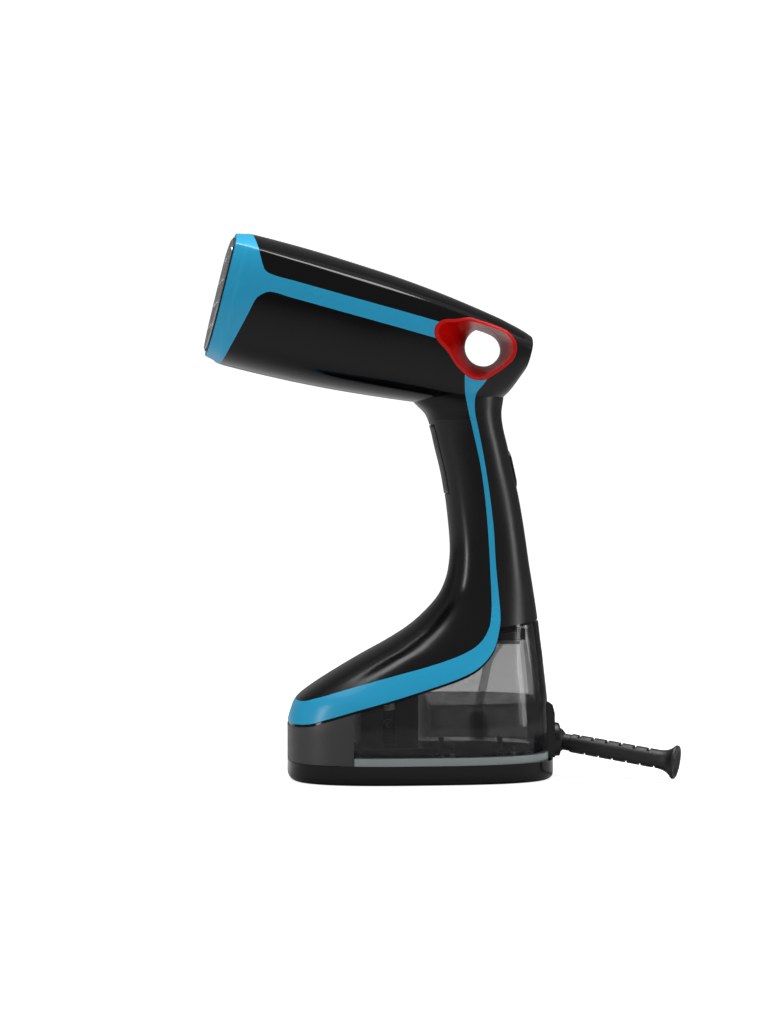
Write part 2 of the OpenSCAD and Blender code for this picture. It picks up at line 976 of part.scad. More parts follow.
module pump_cradle() {
    color("dimgray")
        difference() {
            intersection() {
                translate([cradle_x[0], -cradle_hy, 17.6])
                    cube([cradle_x[1] - cradle_x[0], 2 * cradle_hy, 30]);
                side(under_lip(0));
            }
            translate([cradle_x[0] + 1.6, -cradle_hy + 1.6, 19.2])
                cube([cradle_x[1] - cradle_x[0] - 3.2, 2 * cradle_hy - 3.2, 40]);
            bar_z(-19, 24, hose_r + 0.4);
            bar_z(-19, -24, hose_r + 0.4);
        }
}

module pump_body() {
    color("gray")
        difference() {
            union() {
                bar(pump_c[0], pump_c[1], pump_d / 2, -pump_hl, pump_hl);
                for (y = [-1, 1])
                    bar(pump_c[0], pump_c[1], 3, min(y * pump_hl, y * 20.4), max(y * pump_hl, y * 20.4));
            }
            bar(pump_c[0], pump_c[1], 5, -10, 10);
            bar(pump_c[0], pump_c[1], 1.5, -30, 30);
        }
}

module pump_plunger() {
    color("silver")
        difference() {
            bar(pump_c[0], pump_c[1], 4.95, -7, 7);
            bar(pump_c[0], pump_c[1], 1.5, -30, 30);
        }
}

module water_hose() {
    color("lightgray")
        swept([[valve_x, 0, 82], [valve_x - 1, 3, 89], [38, 10, 89], [24, 18, 76], [4, 22, 61],
            [-12, 24, 54], [-18.5, 24, 47], [-19, 24, 38]], hose_r);
}

// Tank: a clear vessel with a dry well at the front and a niche at the back
tank_t = 2.2;
well_x1 = -1.5;
partition_x = 0.5;
valve_x = 47;
valve_hole_r = 9;
roof_z = 80.4 - gap;

module tank_outline(inset, drop, x0, x1, z0) {
    intersection() {
        body_form(inset, 4, 94);
        side(under_lip(drop));
        translate([x0, -60, z0])
            cube([x1 - x0, 120, 90]);
    }
}

module pan_posts(r, z0, z1) {
    for (x = [14, 46], y = [-1, 1])
        translate([x, y * 24, z0])
            cylinder(h = z1 - z0, r = r);
}

module tank_shell() {
    color(smoke)
        difference() {
            tank_outline(0, gap, panel_x + gap, far, tank_floor);
            niche(0);
            difference() {
                tank_outline(tank_t, gap + 2.4, partition_x, far, tank_floor + 2);
                niche(-tank_t);
                pan_posts(4, tank_floor, tank_floor + 6);
            }
            intersection() {
                body_form(tank_t, 4, 94);
                translate([panel_x + gap + tank_t, -60, tank_floor + 2])
                    cube([well_x1 - panel_x - gap - tank_t, 120, 90]);
            }
            translate([valve_x, 0, 60])
                cylinder(h = 40, r = valve_hole_r);
            pan_posts(screw_d / 2, tank_floor - 1, tank_floor + 4.6);
        }
}

module tank_seal() {
    color("silver")
        difference() {
            intersection() {
                body_form(0, 4, 29);
                translate([panel_x + gap, -60, pan_h])
                    cube([2 * far, 120, seal_h]);
            }
            intersection() {
                body_form(4, 4, 29);
                translate([panel_x + gap + 4, -60, pan_h - 1])
                    cube([2 * far, 120, seal_h + 2]);
            }
            niche(0);
        }
}

module base_pan() {
    color(black)
        difference() {
            union() {
                difference() {
                    loft([for (r = pan_line) body_ring(r, 0)]);
                    translate([0, 0, 2.4])
                        loft([for (r = pan_line) body_ring(r, 2.4)]);
                }
                pan_posts(4.2, pan_z + 1.5, tank_floor);
            }
            pan_posts(screw_d / 2 + 0.1, -1, 30);
            pan_posts(screw_d + 0.2, -1, 4.6);
            feet_at()
                translate([0, 0, -1])
                    cylinder(h = foot_t + 1, r = foot_r);
        }
}

module feet_at() {
    for (x = [-1, 1], y = [-1, 1])
        translate([x * foot_x, y * foot_y, 0])
            children();
}

// Pads let flush into the pan
foot_x = half_l - 14.5;
foot_y = half_w - 22;
foot_r = 5;
foot_t = 1;
module rubber_feet() {
    color("darkslategray")
        feet_at()
            cylinder(h = foot_t, r = foot_r);
}

module pan_screws() {
    color("gray") {
        pan_posts(screw_d / 2, 4.6, tank_floor + 4);
        pan_posts(screw_d, 2.4, 4.6);
    }
}

// The tank's spring valve, under a spigot in the deck
seat_z = 72.5;
module valve_seat() {
    color("dimgray")
        difference() {
            translate([valve_x, 0, seat_z])
                cylinder(h = roof_z - seat_z - 1.8, r = valve_hole_r);
            translate([valve_x, 0, seat_z - 1])
                cylinder(h = 20, r = 2.8);
            translate([valve_x, 0, seat_z + 2.4])
                cylinder(h = 20, r = 5.4);
        }
}

module tank_valve() {
    color("white")
        translate([valve_x, 0, 0]) {
            translate([0, 0, seat_z - 2.2])
                cylinder(h = 2.1, r = 6.4);
            translate([0, 0, seat_z - 2.2])
                cylinder(h = 9.2, r = 2);
            translate([0, 0, seat_z + 6])
                cylinder(h = 1, r = 4.6);
        }
}

module valve_spring() {
    color("silver")
        translate([valve_x, 0, seat_z + 2.5])
            spring_rings(3.4, 0.7, 3.4, 4);
}

filter_x = 31;
module suction_filter() {
    color("whitesmoke")
        translate([filter_x, 0, tank_floor + 2.2])
            difference() {
                union() {
                    cylinder(h = 17, r = 5);
                    cylinder(h = 1.4, r = 6.4);
                }
                translate([0, 0, 3])
                    cylinder(h = 20, r = 2.4);
            }
}

module suction_tube() {
    color("lightgray")
        swept([[filter_x, 0, tank_floor + 6], [filter_x, 0, 36], [filter_x + 3, 0, 50],
            [38, 8, 62], [valve_x - 2, 11, 71]], 2.2);
}

steam_plate();
plate_seal();
front_collar();
barrel_shell();
tail_shell();
roof_panel();
side_band_left();
side_band_right();
ring_left();
ring_right();
power_rocker();
boiler();
heater_tube();
thermostat();
thermal_fuse();
boiler_screws();
steam_hose();
handle_front();
handle_rear();
trim_upper_left();
trim_upper_right();
trim_lower();
trigger();
trigger_pin();
trigger_spring();
microswitch();
rear_button();
handle_screws();
chassis();
control_board();
front_panel();
rear_spine();
cord_ball();
cord_boot();
pump_cradle();
pump_body();
pump_plunger();
water_hose();
tank_shell();
tank_seal();
base_pan();
rubber_feet();
suction_tube();
suction_filter();
tank_valve();
valve_seat();
valve_spring();
pan_screws();
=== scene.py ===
# %% [markdown]
# # A hand-held garment steamer, dressed around its fixed frame
#
# The frame gives every piece its place. The thin moulded shells are made again here with
# smoother skins, and everything inside keeps its fixed shape and gets a better finish.

# %% Load the frame
import math

import bmesh
import bpy
from mathutils import Matrix, Vector, geometry


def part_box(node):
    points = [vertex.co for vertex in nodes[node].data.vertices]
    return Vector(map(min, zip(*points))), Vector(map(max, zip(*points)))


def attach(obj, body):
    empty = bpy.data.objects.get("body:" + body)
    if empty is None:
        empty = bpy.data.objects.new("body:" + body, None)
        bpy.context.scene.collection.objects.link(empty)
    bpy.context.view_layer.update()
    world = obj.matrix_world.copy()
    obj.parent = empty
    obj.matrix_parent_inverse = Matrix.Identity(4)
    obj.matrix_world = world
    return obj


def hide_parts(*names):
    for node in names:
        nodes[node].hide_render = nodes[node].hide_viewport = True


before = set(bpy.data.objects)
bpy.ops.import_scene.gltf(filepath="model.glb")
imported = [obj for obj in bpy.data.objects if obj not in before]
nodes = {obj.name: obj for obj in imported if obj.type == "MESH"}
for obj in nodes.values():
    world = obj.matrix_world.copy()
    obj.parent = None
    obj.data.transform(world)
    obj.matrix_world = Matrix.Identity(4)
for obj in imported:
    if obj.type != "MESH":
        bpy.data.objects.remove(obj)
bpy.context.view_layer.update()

# %% [markdown]
# ## Colours and nodes
#
# Colours are picked as the hex values a painter would read off a chart. Blender mixes light
# in linear values, so one function turns the hex value into them.


# %% Colour and node helpers
def linear(code):
    """The linear colour of an sRGB hex value."""
    parts = [int(code[i : i + 2], 16) / 255 for i in (1, 3, 5)]
    return [p / 12.92 if p <= 0.04045 else ((p + 0.055) / 1.055) ** 2.4 for p in parts] + [1]


def add_node(material, kind, settings=(), links=()):
    """Adds a node, sets its sockets or properties, and feeds its sockets from others."""
    tree = material.node_tree
    made = tree.nodes.new(kind)
    for name, value in dict(settings).items():
        if name in made.inputs:
            made.inputs[name].default_value = value
        else:
            setattr(made, name, value)
    for socket, source in dict(links).items():
        tree.links.new(source, made.inputs[socket])
    return made


# %% [markdown]
# ## Moulded plastic
#
# Nearly everything here is injection-moulded plastic. What tells one moulding from another
# is the tool it came from: a polished steel tool gives ABS a piano gloss, and a spark-eroded
# tool gives it a fine satin grain. So one recipe makes them all: a base colour, a soft
# change of roughness over a few centimetres from handling, and a grain of a real size.


# %% The plastic recipe
def moulded(name, colour, rough, uneven, grain_mm, depth_mm, **shader):
    """Injection-moulded plastic with handling marks and a tool grain of a size in mm."""
    material = bpy.data.materials.new(name)
    material.use_nodes = True
    skin = material.node_tree.nodes["Principled BSDF"]
    for socket, value in {"IOR": 1.5, **shader}.items():
        skin.inputs[socket.replace("_", " ")].default_value = value
    skin.inputs["Base Color"].default_value = linear(colour)
    place = add_node(material, "ShaderNodeTexCoord").outputs["Object"]
    marks = add_node(
        material, "ShaderNodeTexNoise", {"Scale": 45.0, "Detail": 3.0}, {"Vector": place}
    )
    spread = add_node(
        material,
        "ShaderNodeMapRange",
        {"From Min": 0.3, "From Max": 0.7, "To Min": rough - uneven, "To Max": rough + uneven},
        {"Value": marks.outputs["Fac"]},
    )
    grain = add_node(
        material,
        "ShaderNodeTexNoise",
        {"Scale": 1000.0 / grain_mm, "Detail": 1.0},
        {"Vector": place},
    )
    bump = add_node(
        material,
        "ShaderNodeBump",
        {"Strength": 1.0, "Distance": depth_mm / 1000},
        {"Height": grain.outputs["Fac"]},
    )
    material.node_tree.links.new(spread.outputs["Result"], skin.inputs["Roughness"])
    material.node_tree.links.new(bump.outputs["Normal"], skin.inputs["Normal"])
    return material


# Polished ABS: deep black, sharp reflections, the faintest orange peel
piano_abs = moulded(
    "polished_black_abs", "#020203", 0.1, 0.02, 6.0, 0.004, Specular_IOR_Level=0.3
)
# Satin black: a fine grain just under a millimetre across
satin_abs = moulded(
    "satin_black_abs", "#050505", 0.32, 0.03, 0.9, 0.012, Specular_IOR_Level=0.4
)
# Front of the grip: polished too, but less finely, so its highlights are long and soft
grip_abs = moulded(
    "half_gloss_black_abs", "#040405", 0.2, 0.03, 3.0, 0.006, Specular_IOR_Level=0.4
)
# Rough moulded panel under the trim
panel_abs = moulded("fine_grain_grey_abs", "#343433", 0.42, 0.03, 0.7, 0.012)
# Pigmented ABS, moulded in colour, with a soft gloss
blue_abs = moulded("turquoise_abs", "#1FA3D0", 0.3, 0.03, 2.0, 0.005)
# Red polycarbonate of the hanging hole, with a soft gloss
red_pc = moulded(
    "translucent_red_polycarbonate", "#C00904", 0.24, 0.02, 5.0, 0.003, Specular_IOR_Level=0.35
)
# Rubber of the cord boot and feet
black_rubber = moulded("moulded_black_rubber", "#060606", 0.5, 0.05, 0.8, 0.02)
seal_rubber = moulded("pale_silicone_seal", "#8D9494", 0.4, 0.04, 1.5, 0.008)
white_nylon = moulded("natural_nylon", "#CFCDC6", 0.45, 0.04, 1.2, 0.008)
dark_gasket = moulded("black_silicone_gasket", "#121212", 0.5, 0.04, 1.0, 0.01)
hose_silicone = moulded("milky_silicone_hose", "#C9C7C0", 0.4, 0.04, 2.0, 0.006)
board_laminate = moulded("green_circuit_laminate", "#0E3B1C", 0.35, 0.05, 1.0, 0.01)
# Smoked clear SAN of the water tank: thin, glossy and see-through
smoked_san = moulded("smoked_clear_san", "#242427", 0.07, 0.015, 8.0, 0.003, Alpha=0.34)
# Darker smoke for a sheet low inside the tank: it only makes the tank's bottom half darker
deep_smoke = moulded("darker_smoke_low_in_tank", "#101114", 0.14, 0.02, 8.0, 0.003, Alpha=0.68)
clear_tube = moulded("clear_smoked_tube", "#4A4A4E", 0.15, 0.02, 4.0, 0.004, Alpha=0.35)

# %% [markdown]
# ## Metals
#
# The steam face is stainless sheet, brushed across. A noise squeezed one way draws the
# brush lines. The boiler is die-cast, so it has a coarse dull skin in place of the lines.


# %% Metals
def metal(name, colour, rough, lines_mm, depth_mm):
    """A metal whose grain is stretched, given as a size in mm along each direction."""
    material = bpy.data.materials.new(name)
    material.use_nodes = True
    skin = material.node_tree.nodes["Principled BSDF"]
    skin.inputs["Base Color"].default_value = linear(colour)
    skin.inputs["Metallic"].default_value = 1.0
    place = add_node(material, "ShaderNodeTexCoord").outputs["Object"]
    squeeze = add_node(
        material,
        "ShaderNodeMapping",
        {"Scale": [1000.0 / size for size in lines_mm]},
        {"Vector": place},
    )
    grain = add_node(
        material,
        "ShaderNodeTexNoise",
        {"Scale": 1.0, "Detail": 2.0},
        {"Vector": squeeze.outputs["Vector"]},
    )
    spread = add_node(
        material,
        "ShaderNodeMapRange",
        {"To Min": rough - 0.08, "To Max": rough + 0.08},
        {"Value": grain.outputs["Fac"]},
    )
    bump = add_node(
        material, "ShaderNodeBump", {"Distance": depth_mm / 1000}, {"Height": grain.outputs["Fac"]}
    )
    material.node_tree.links.new(spread.outputs["Result"], skin.inputs["Roughness"])
    material.node_tree.links.new(bump.outputs["Normal"], skin.inputs["Normal"])
    return material


brushed_steel = metal("brushed_stainless", "#B9BABA", 0.28, (0.5, 12.0, 0.5), 0.01)
cast_metal = metal("die_cast_aluminium", "#A2A3A4", 0.5, (1.2, 1.2, 1.2), 0.03)
plain_steel = metal("zinc_plated_steel", "#A7A8A6", 0.3, (0.8, 0.8, 0.8), 0.005)

# %% [markdown]
# ## Working in millimetres
#
# The mouldings are drawn in millimetres, the unit of their drawings, and turned to metres
# as the last step. A solid is cut by another with a Boolean, and the cutter is thrown away.

# %% Shape helpers
HEAD_TILT = math.radians(14)
HOLE_X, HOLE_Z = 33.8, 227.4
at_head = Matrix.Translation((HOLE_X, 0, HOLE_Z)) @ Matrix.Rotation(HEAD_TILT, 4, "Y")
SEAM = 0.14  # half of the line seen where two mouldings meet
HAIRLINE = 0.04  # half of the finer line round the neck
MOVE_GAP = 0.3  # room around a piece that moves


def box_mm(name):
    """A fixed node's lowest and highest corners, in millimetres."""
    low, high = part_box(name)
    return low * 1000, high * 1000


def shape(bm, name="work"):
    """A working object from a bmesh, with all faces turned outwards."""
    bmesh.ops.recalc_face_normals(bm, faces=bm.faces)
    mesh = bpy.data.meshes.new(name)
    bm.to_mesh(mesh)
    bm.free()
    made = bpy.data.objects.new(name, mesh)
    bpy.context.scene.collection.objects.link(made)
    return made


def settle(target):
    """Turns an object's modifiers into its mesh."""
    bpy.context.view_layer.update()
    seen = target.evaluated_get(bpy.context.evaluated_depsgraph_get())
    mesh = bpy.data.meshes.new_from_object(seen)
    target.modifiers.clear()
    target.data = mesh
    return target


def carve(target, tool, how="DIFFERENCE", keep=False):
    """Cuts, joins or meets one solid with another. Both have to be closed."""
    cut = target.modifiers.new("cut", "BOOLEAN")
    cut.operation, cut.object, cut.solver = how, tool, "MANIFOLD"
    settle(target)
    if not keep:
        bpy.data.objects.remove(tool)
    return target


def twin(source):
    """A copy of a working solid."""
    made = bpy.data.objects.new("work", source.data.copy())
    bpy.context.scene.collection.objects.link(made)
    return made


def smooth_rows(rows, steps):
    """A smooth curve through rows of numbers, with some steps to each span."""
    out = []
    last = len(rows) - 1
    for i in range(last):
        near = (rows[max(i - 1, 0)], rows[i], rows[i + 1], rows[min(i + 2, last)])
        for step in range(steps):
            t = step / steps
            out.append(
                [
                    0.5 * (2 * b + (c - a) * t + (2 * a - 5 * b + 4 * c - d) * t * t
                    + (3 * b - a - 3 * c + d) * t**3)
                    for a, b, c, d in zip(*near)
                ]
            )
    return out + [list(rows[last])]


def bent(value, power):
    """A power that keeps the sign, for squared ovals."""
    return math.copysign(abs(value) ** power, value)


def loft(rings):
    """A closed solid through rings of points, each bridged to the next."""
    bm = bmesh.new()
    before = []
    for ring in rings:
        corners = [bm.verts.new(p) for p in ring]
        edges = [bm.edges.new((corners[i - 1], corners[i])) for i in range(len(corners))]
        if before:
            bmesh.ops.bridge_loops(bm, edges=before + edges)
        before = edges
    bmesh.ops.holes_fill(bm, edges=[e for e in bm.edges if len(e.link_faces) < 2], sides=0)
    return shape(bm)


def prism(points, low=-60, high=60, shrink=0.0):
    """A side-view outline carried across the width, drawn in by a little all round."""
    bm = bmesh.new()
    face = bm.faces.new([bm.verts.new((x, low, z)) for x, z in points])
    if shrink:
        rim = bmesh.ops.inset_individual(
            bm, faces=[face], thickness=shrink, use_even_offset=True
        )
        bmesh.ops.delete(bm, geom=rim["faces"], context="FACES")
    pulled = bmesh.ops.extrude_face_region(bm, geom=[face])["geom"]
    far_side = [g for g in pulled if isinstance(g, bmesh.types.BMVert)]
    bmesh.ops.translate(bm, verts=far_side, vec=(0, high - low, 0))
    return shape(bm)


def in_head(target):
    """Carries a solid from the head's own frame to the steamer's."""
    target.data.transform(at_head)
    return target


def rod(radius, low, high, centre, turn, sides=64):
    """A round bar along an axis, from one length to another."""
    bm = bmesh.new()
    bmesh.ops.create_circle(bm, cap_ends=True, segments=sides, radius=radius)
    pulled = bmesh.ops.extrude_face_region(bm, geom=list(bm.faces))["geom"]
    tips = [g for g in pulled if isinstance(g, bmesh.types.BMVert)]
    bmesh.ops.translate(bm, verts=tips, vec=(0, 0, high - low))
    bmesh.ops.translate(bm, verts=bm.verts, vec=(0, 0, low))
    bmesh.ops.transform(bm, matrix=Matrix.Translation(centre) @ turn, verts=bm.verts)
    return shape(bm)


UP = Matrix.Identity(4)
ACROSS = Matrix.Rotation(math.radians(-90), 4, "X")
ALONG = Matrix.Rotation(math.radians(90), 4, "Y")


def dress(target, name, material, body, stands_for, crisp=32, edge=0.0):
    """Names a finished solid, gives it its finish, and hangs it on its body."""
    if edge:
        soft = target.modifiers.new("soft_edge", "BEVEL")
        soft.width, soft.segments, soft.limit_method = edge, 2, "ANGLE"
        soft.angle_limit = math.radians(45)
        settle(target)
    target.name = name
    mesh = target.data
    mesh.name = name
    mesh.transform(Matrix.Scale(0.001, 4))
    mesh.materials.clear()
    mesh.materials.append(material)
    mesh.shade_smooth()
    mesh.set_sharp_from_angle(angle=math.radians(crisp))
    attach(target, body)
    if stands_for:
        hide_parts(*stands_for)
    print(name, len(mesh.polygons), "faces")
    return target


# %% [markdown]
# ## The lines of the body
#
# The base, the instep and the grip are one flowing form. On a real drawing it is a stack of
# sections, each a squared oval with a front, a back and a width, and the skin is stretched
# over them. A loft does just that, so the form needs only a table of sections.

# %% The body's sections
pan_low, pan_high = box_mm("base_pan")
HALF_L = -pan_low.x
HALF_W = pan_high.y
PAN_H = box_mm("front_panel")[0].z
TANK_FLOOR = box_mm("tank_shell")[0].z
PANEL_X = box_mm("front_panel")[1].x
SEAM_Z = box_mm("handle_front")[1].z
GRIP_X, GRIP_D, GRIP_HW = 15.5, 38.5, 18.5
TANK_BACK = HALF_L - 3.2
WALL = 2.6
body_line = [
    [4, -HALF_L, TANK_BACK, HALF_W, 2.9],
    [12, -HALF_L, TANK_BACK, HALF_W, 2.9],
    [20, -HALF_L, TANK_BACK, HALF_W, 2.9],
    [29, -HALF_L, TANK_BACK, HALF_W, 2.9],
    [36, -HALF_L + 1.6, TANK_BACK - 0.2, HALF_W - 0.6, 2.85],
    [43, -HALF_L + 5, HALF_L - 3.8, HALF_W - 1.4, 2.8],
    [50, -HALF_L + 14, HALF_L - 4.5, HALF_W - 2.8, 2.7],
    [57, -HALF_L + 25, HALF_L - 5.2, HALF_W - 4.6, 2.6],
    [65, -HALF_L + 38.5, HALF_L - 6, HALF_W - 7.4, 2.5],
    [73, -HALF_L + 53, HALF_L - 7, HALF_W - 10.4, 2.4],
    [82, -HALF_L + 66.5, HALF_L - 8, HALF_W - 13.6, 2.35],
    [94, GRIP_X - 7.4, GRIP_X + GRIP_D + 6.6, GRIP_HW + 5.4, 2.3],
    [104, GRIP_X - 2.2, GRIP_X + GRIP_D + 5, GRIP_HW + 2.9, 2.3],
    [114, GRIP_X - 0.1, GRIP_X + GRIP_D + 3.4, GRIP_HW + 1.4, 2.3],
    [124, GRIP_X + 0.2, GRIP_X + GRIP_D + 2, GRIP_HW + 0.6, 2.3],
    [137, GRIP_X - 0.9, GRIP_X + GRIP_D, GRIP_HW + 0.1, 2.3],
    [150, GRIP_X - 2.5, GRIP_X + GRIP_D - 2.4, GRIP_HW, 2.3],
    [162, GRIP_X - 4.6, GRIP_X + GRIP_D - 5.2, GRIP_HW, 2.3],
    [175, GRIP_X - 7.8, GRIP_X + GRIP_D - 8, GRIP_HW, 2.3],
    [184, GRIP_X - 9.9, GRIP_X + GRIP_D - 10.2, GRIP_HW + 0.2, 2.3],
    [192, GRIP_X - 13, GRIP_X + GRIP_D - 11.2, GRIP_HW + 0.7, 2.3],
    [200, GRIP_X - 20, GRIP_X + GRIP_D - 10.2, GRIP_HW + 1.6, 2.3],
    [212, GRIP_X - 20, GRIP_X + GRIP_D - 9, GRIP_HW + 1.6, 2.3],
]
body_rows = smooth_rows(body_line, 4)


def body_ring(row, inset, sides=112):
    """One section of the body, drawn in by an inset."""
    z, front, back, half, square = row
    front = max(front, -HALF_L)
    reach = (back - front) / 2 - inset
    ring = []
    for k in range(sides):
        turn = 2 * math.pi * (k + 0.5) / sides
        ring.append(
            (
                (front + back) / 2 + reach * bent(math.cos(turn), 2 / square),
                (half - inset) * bent(math.sin(turn), 2 / square),
                z,
            )
        )
    return ring


def body_form(inset, low=4, high=212):
    """The body between two heights."""
    rows = [r for r in body_rows if low - 0.01 <= r[0] <= high + 0.01]
    return loft([body_ring(r, inset) for r in rows])


def edge_at(z, column):
    """Where the front (1) or back (2) of the body is at a height."""
    for lower, upper in zip(body_line, body_line[1:]):
        if lower[0] <= z <= upper[0]:
            share = (z - lower[0]) / (upper[0] - lower[0])
            return lower[column] + share * (upper[column] - lower[column])
    return body_line[-1][column]


body_solid = body_form(0)
print("body form", len(body_solid.data.polygons), "faces")

# %% [markdown]
# ## The lines of the head
#
# The head is a tapering barrel. Its belly is a deep squared curve, its flanks lean in, and
# above a sharp crease it has a low roof. It is drawn level and then tipped up by 14 degrees.

# %% The head's sections
REACH = 143
FACE_X = -REACH
head_line = [
    [FACE_X + 1.5, 24.9, -40.5, 40, 17.6],
    [FACE_X + 6, 25.9, -41.6, 41.2, 17.5],
    [FACE_X + 12, 26.7, -43, 42, 17.2],
    [FACE_X + 40, 26.5, -42.8, 40, 16.2],
    [-77, 25.4, -41.7, 37.2, 15.2],
    [-51, 23.7, -39.6, 35.4, 14.1],
    [-25, 20.9, -36.9, 30.4, 12.4],
    [0, 17.1, -34, 26.5, 10],
    [10, 15, -29, 25.5, 8.6],
    [17, 13.2, -21.5, 24.5, 7.5],
    [22, 11.4, -9, 23.5, 6.4],
]
BELLY_STEPS, FLANK_STEPS, ROOF_STEPS = 48, 6, 32


def rounded(points, corner, radius):
    """Takes the sharpness off one corner of a ring."""
    here = Vector(points[corner])
    before, after = Vector(points[corner - 1]), Vector(points[corner + 1])
    start = here + (before - here).normalized() * radius
    end = here + (after - here).normalized() * radius
    middle = (start + end + 2 * here) / 4
    return points[:corner] + [tuple(start), tuple(middle), tuple(end)] + points[corner + 1 :]


def head_ring(row, inset, round_off=0.7):
    """One section of the head, drawn in by an inset."""
    x, top, belly, half, crease = row
    wide = half - inset
    middle = min(3, crease - 4)
    top, belly, crease = top - inset, belly + inset, crease - 0.8 * inset
    ring = []
    for k in range(BELLY_STEPS + 1):
        turn = math.pi * k / BELLY_STEPS
        ring.append(
            (
                x,
                -wide * bent(math.cos(turn), 2 / 2.7),
                middle - (middle - belly) * bent(math.sin(turn), 2 / 2.7),
            )
        )
    for k in range(1, FLANK_STEPS):
        share = k / FLANK_STEPS
        ring.append((x, wide - 2.4 * share * share, middle + (crease - middle) * share))
    near = len(ring)
    for k in range(ROOF_STEPS + 1):
        u = 1 - 2 * k / ROOF_STEPS
        ring.append((x, (wide - 2.4) * u, crease + (top - crease) * (1 - abs(u) ** 2.4)))
    far_corner = len(ring) - 1
    for k in range(FLANK_STEPS - 1, 0, -1):
        share = k / FLANK_STEPS
        ring.append((x, -wide + 2.4 * share * share, middle + (crease - middle) * share))
    ring = rounded(ring, far_corner, round_off)
    return rounded(ring, near, round_off)


def head_form(inset, low=-200, high=100):
    """The head between two places along its own length."""
    rows = [r for r in smooth_rows(head_line, 5) if low <= r[0] <= high]
    return in_head(loft([head_ring(r, inset) for r in rows]))


def face_slab(low, high, inset):
    """A slab with the outline of the steam face."""
    rows = [[x] + head_line[0][1:] for x in (low, high)]
    return in_head(loft([head_ring(r, inset, 1.2) for r in rows]))


head_solid = head_form(0)
print("head form", len(head_solid.data.polygons), "faces")

# %% [markdown]
# ## Where the mouldings meet
#
# The shells are parted along lines drawn on the side view. Each line is a smooth curve, and
# a moulding is the skin inside its outline, so neighbours share a line and leave a fine seam.

# %% Parting lines on the body
FAR = 90
trim_front = smooth_rows(
    [
        [20, 215], [20.6, 205], [22.8, 194], [25.4, 183], [29.1, 166.5], [31.7, 149],
        [33.3, 131.5], [34.2, 114.5], [34.6, 97], [34.1, 88], [32.4, 80], [27, 72.5],
        [17.6, 67], [2.3, 61.8], [-17.6, 56.4], [-37.6, 50.7], [-56.5, 44.6], [-67, 41.8],
        [-FAR, 41],
    ],
    6,
)
trim_back = smooth_rows(
    [
        [34, 215], [31.5, 208.8], [27, 202.5], [26.3, 194], [28.5, 183], [31.7, 166.5],
        [34.4, 149], [36.4, 131.5], [37.3, 114.5], [38.5, 97], [38.9, 87], [38.1, 80],
        [34.8, 69.5], [27.2, 61], [17.2, 55.6], [2.1, 50.5], [-17.8, 44.4], [-37.7, 38.7],
        [-54, 33.6], [-64.1, 30.8], [-FAR, 29],
    ],
    6,
)
TRIM_END, GRIP_TOP, LIP = 84, 201, 1.4
trim_area = trim_front + trim_back[::-1]
front_area = trim_front + [[-FAR, 215]]
rear_area = [p for p in trim_back if 80.5 < p[1] < GRIP_TOP] + [
    [38.1, 80.5],
    [FAR, TRIM_END + 4],
    [FAR, GRIP_TOP - 2],
    [44, GRIP_TOP - 0.6],
    [36, GRIP_TOP],
]
lip_line = [[FAR, TRIM_END + 4], [38.1, 80.5]] + [p for p in trim_back if p[1] < 80.5]


def lowered(points, drop):
    """A side-view line moved down."""
    return [[x, z - drop] for x, z in points]


lip_area = lip_line + lowered(lip_line, LIP)[::-1]


def band(low, high, x_low=-FAR, x_high=FAR):
    """A side-view rectangle."""
    return prism([[x_low, low], [x_high, low], [x_high, high], [x_low, high]])


# %% Parting lines on the head
BAND_W, ARM_END, BAND_SEAM = 8.6, -26, -52


def band_mid(x):
    """The middle of the blue band along the head."""
    return 2 - (x + 121) * 0.016


def band_top(x):
    """The band's upper edge."""
    return band_mid(x) + BAND_W / 2


def band_low(x):
    """The band's lower edge."""
    return band_mid(x) - BAND_W / 2


upper_edge = smooth_rows(
    [
        [FACE_X + 9.5, 26], [FACE_X + 13.7, 17.2], [FACE_X + 15, 14.5], [FACE_X + 17.3, 10.2],
        [FACE_X + 19.6, 7.4], [FACE_X + 24, band_top(FACE_X + 24)],
        [FACE_X + 34, band_top(FACE_X + 34)],
    ],
    5,
)
lower_edge = smooth_rows(
    [
        [FACE_X + 34, band_low(FACE_X + 34)], [FACE_X + 24.5, band_low(FACE_X + 24)],
        [FACE_X + 19.8, -5.4], [FACE_X + 17.8, -8.6], [FACE_X + 16.2, -15.5],
        [FACE_X + 13.3, -27.5], [FACE_X + 11.3, -36], [FACE_X + 9, -46],
    ],
    5,
)
collar_area = (
    [[FACE_X, -55], [FACE_X, 55], [FACE_X + 9.5, 55]]
    + upper_edge
    + [[ARM_END, band_top(ARM_END)], [ARM_END, band_low(ARM_END)]]
    + lower_edge
    + [[FACE_X + 7, -55]]
)
crease_line = [[r[0], r[4] - 0.1] for r in head_line if FACE_X + 12.5 < r[0] < 20]
top_edge = [p for p in upper_edge if p[1] >= 17.2]
roof_area = top_edge + crease_line + [[17, 55], [FACE_X + 9.5, 55]]
side_area = (
    [[BAND_SEAM, band_top(BAND_SEAM)]]
    + [p for p in upper_edge if p[1] <= 17.2][::-1]
    + [p for p in crease_line if p[0] < BAND_SEAM]
    + [[BAND_SEAM, 14.04]]
)
upper_area = (
    [[FACE_X - 5, -55], [FACE_X - 5, 55], [17, 55]]
    + [p for p in crease_line if p[0] > BAND_SEAM][::-1]
    + [[BAND_SEAM, 14.04], [BAND_SEAM, band_top(BAND_SEAM)], [ARM_END, band_top(ARM_END)]]
    + [[ARM_END, band_low(ARM_END)]]
    + lower_edge
    + [[FACE_X + 7, -55]]
)
print("parting lines drawn")

# %% [markdown]
# ## The hanging hole
#
# A teardrop opening runs right through the tail of the head, lined with two red funnels that
# meet at a narrow throat in the middle. The teardrop is the outline around four circles, and
# a funnel is a loft from it down to the throat.

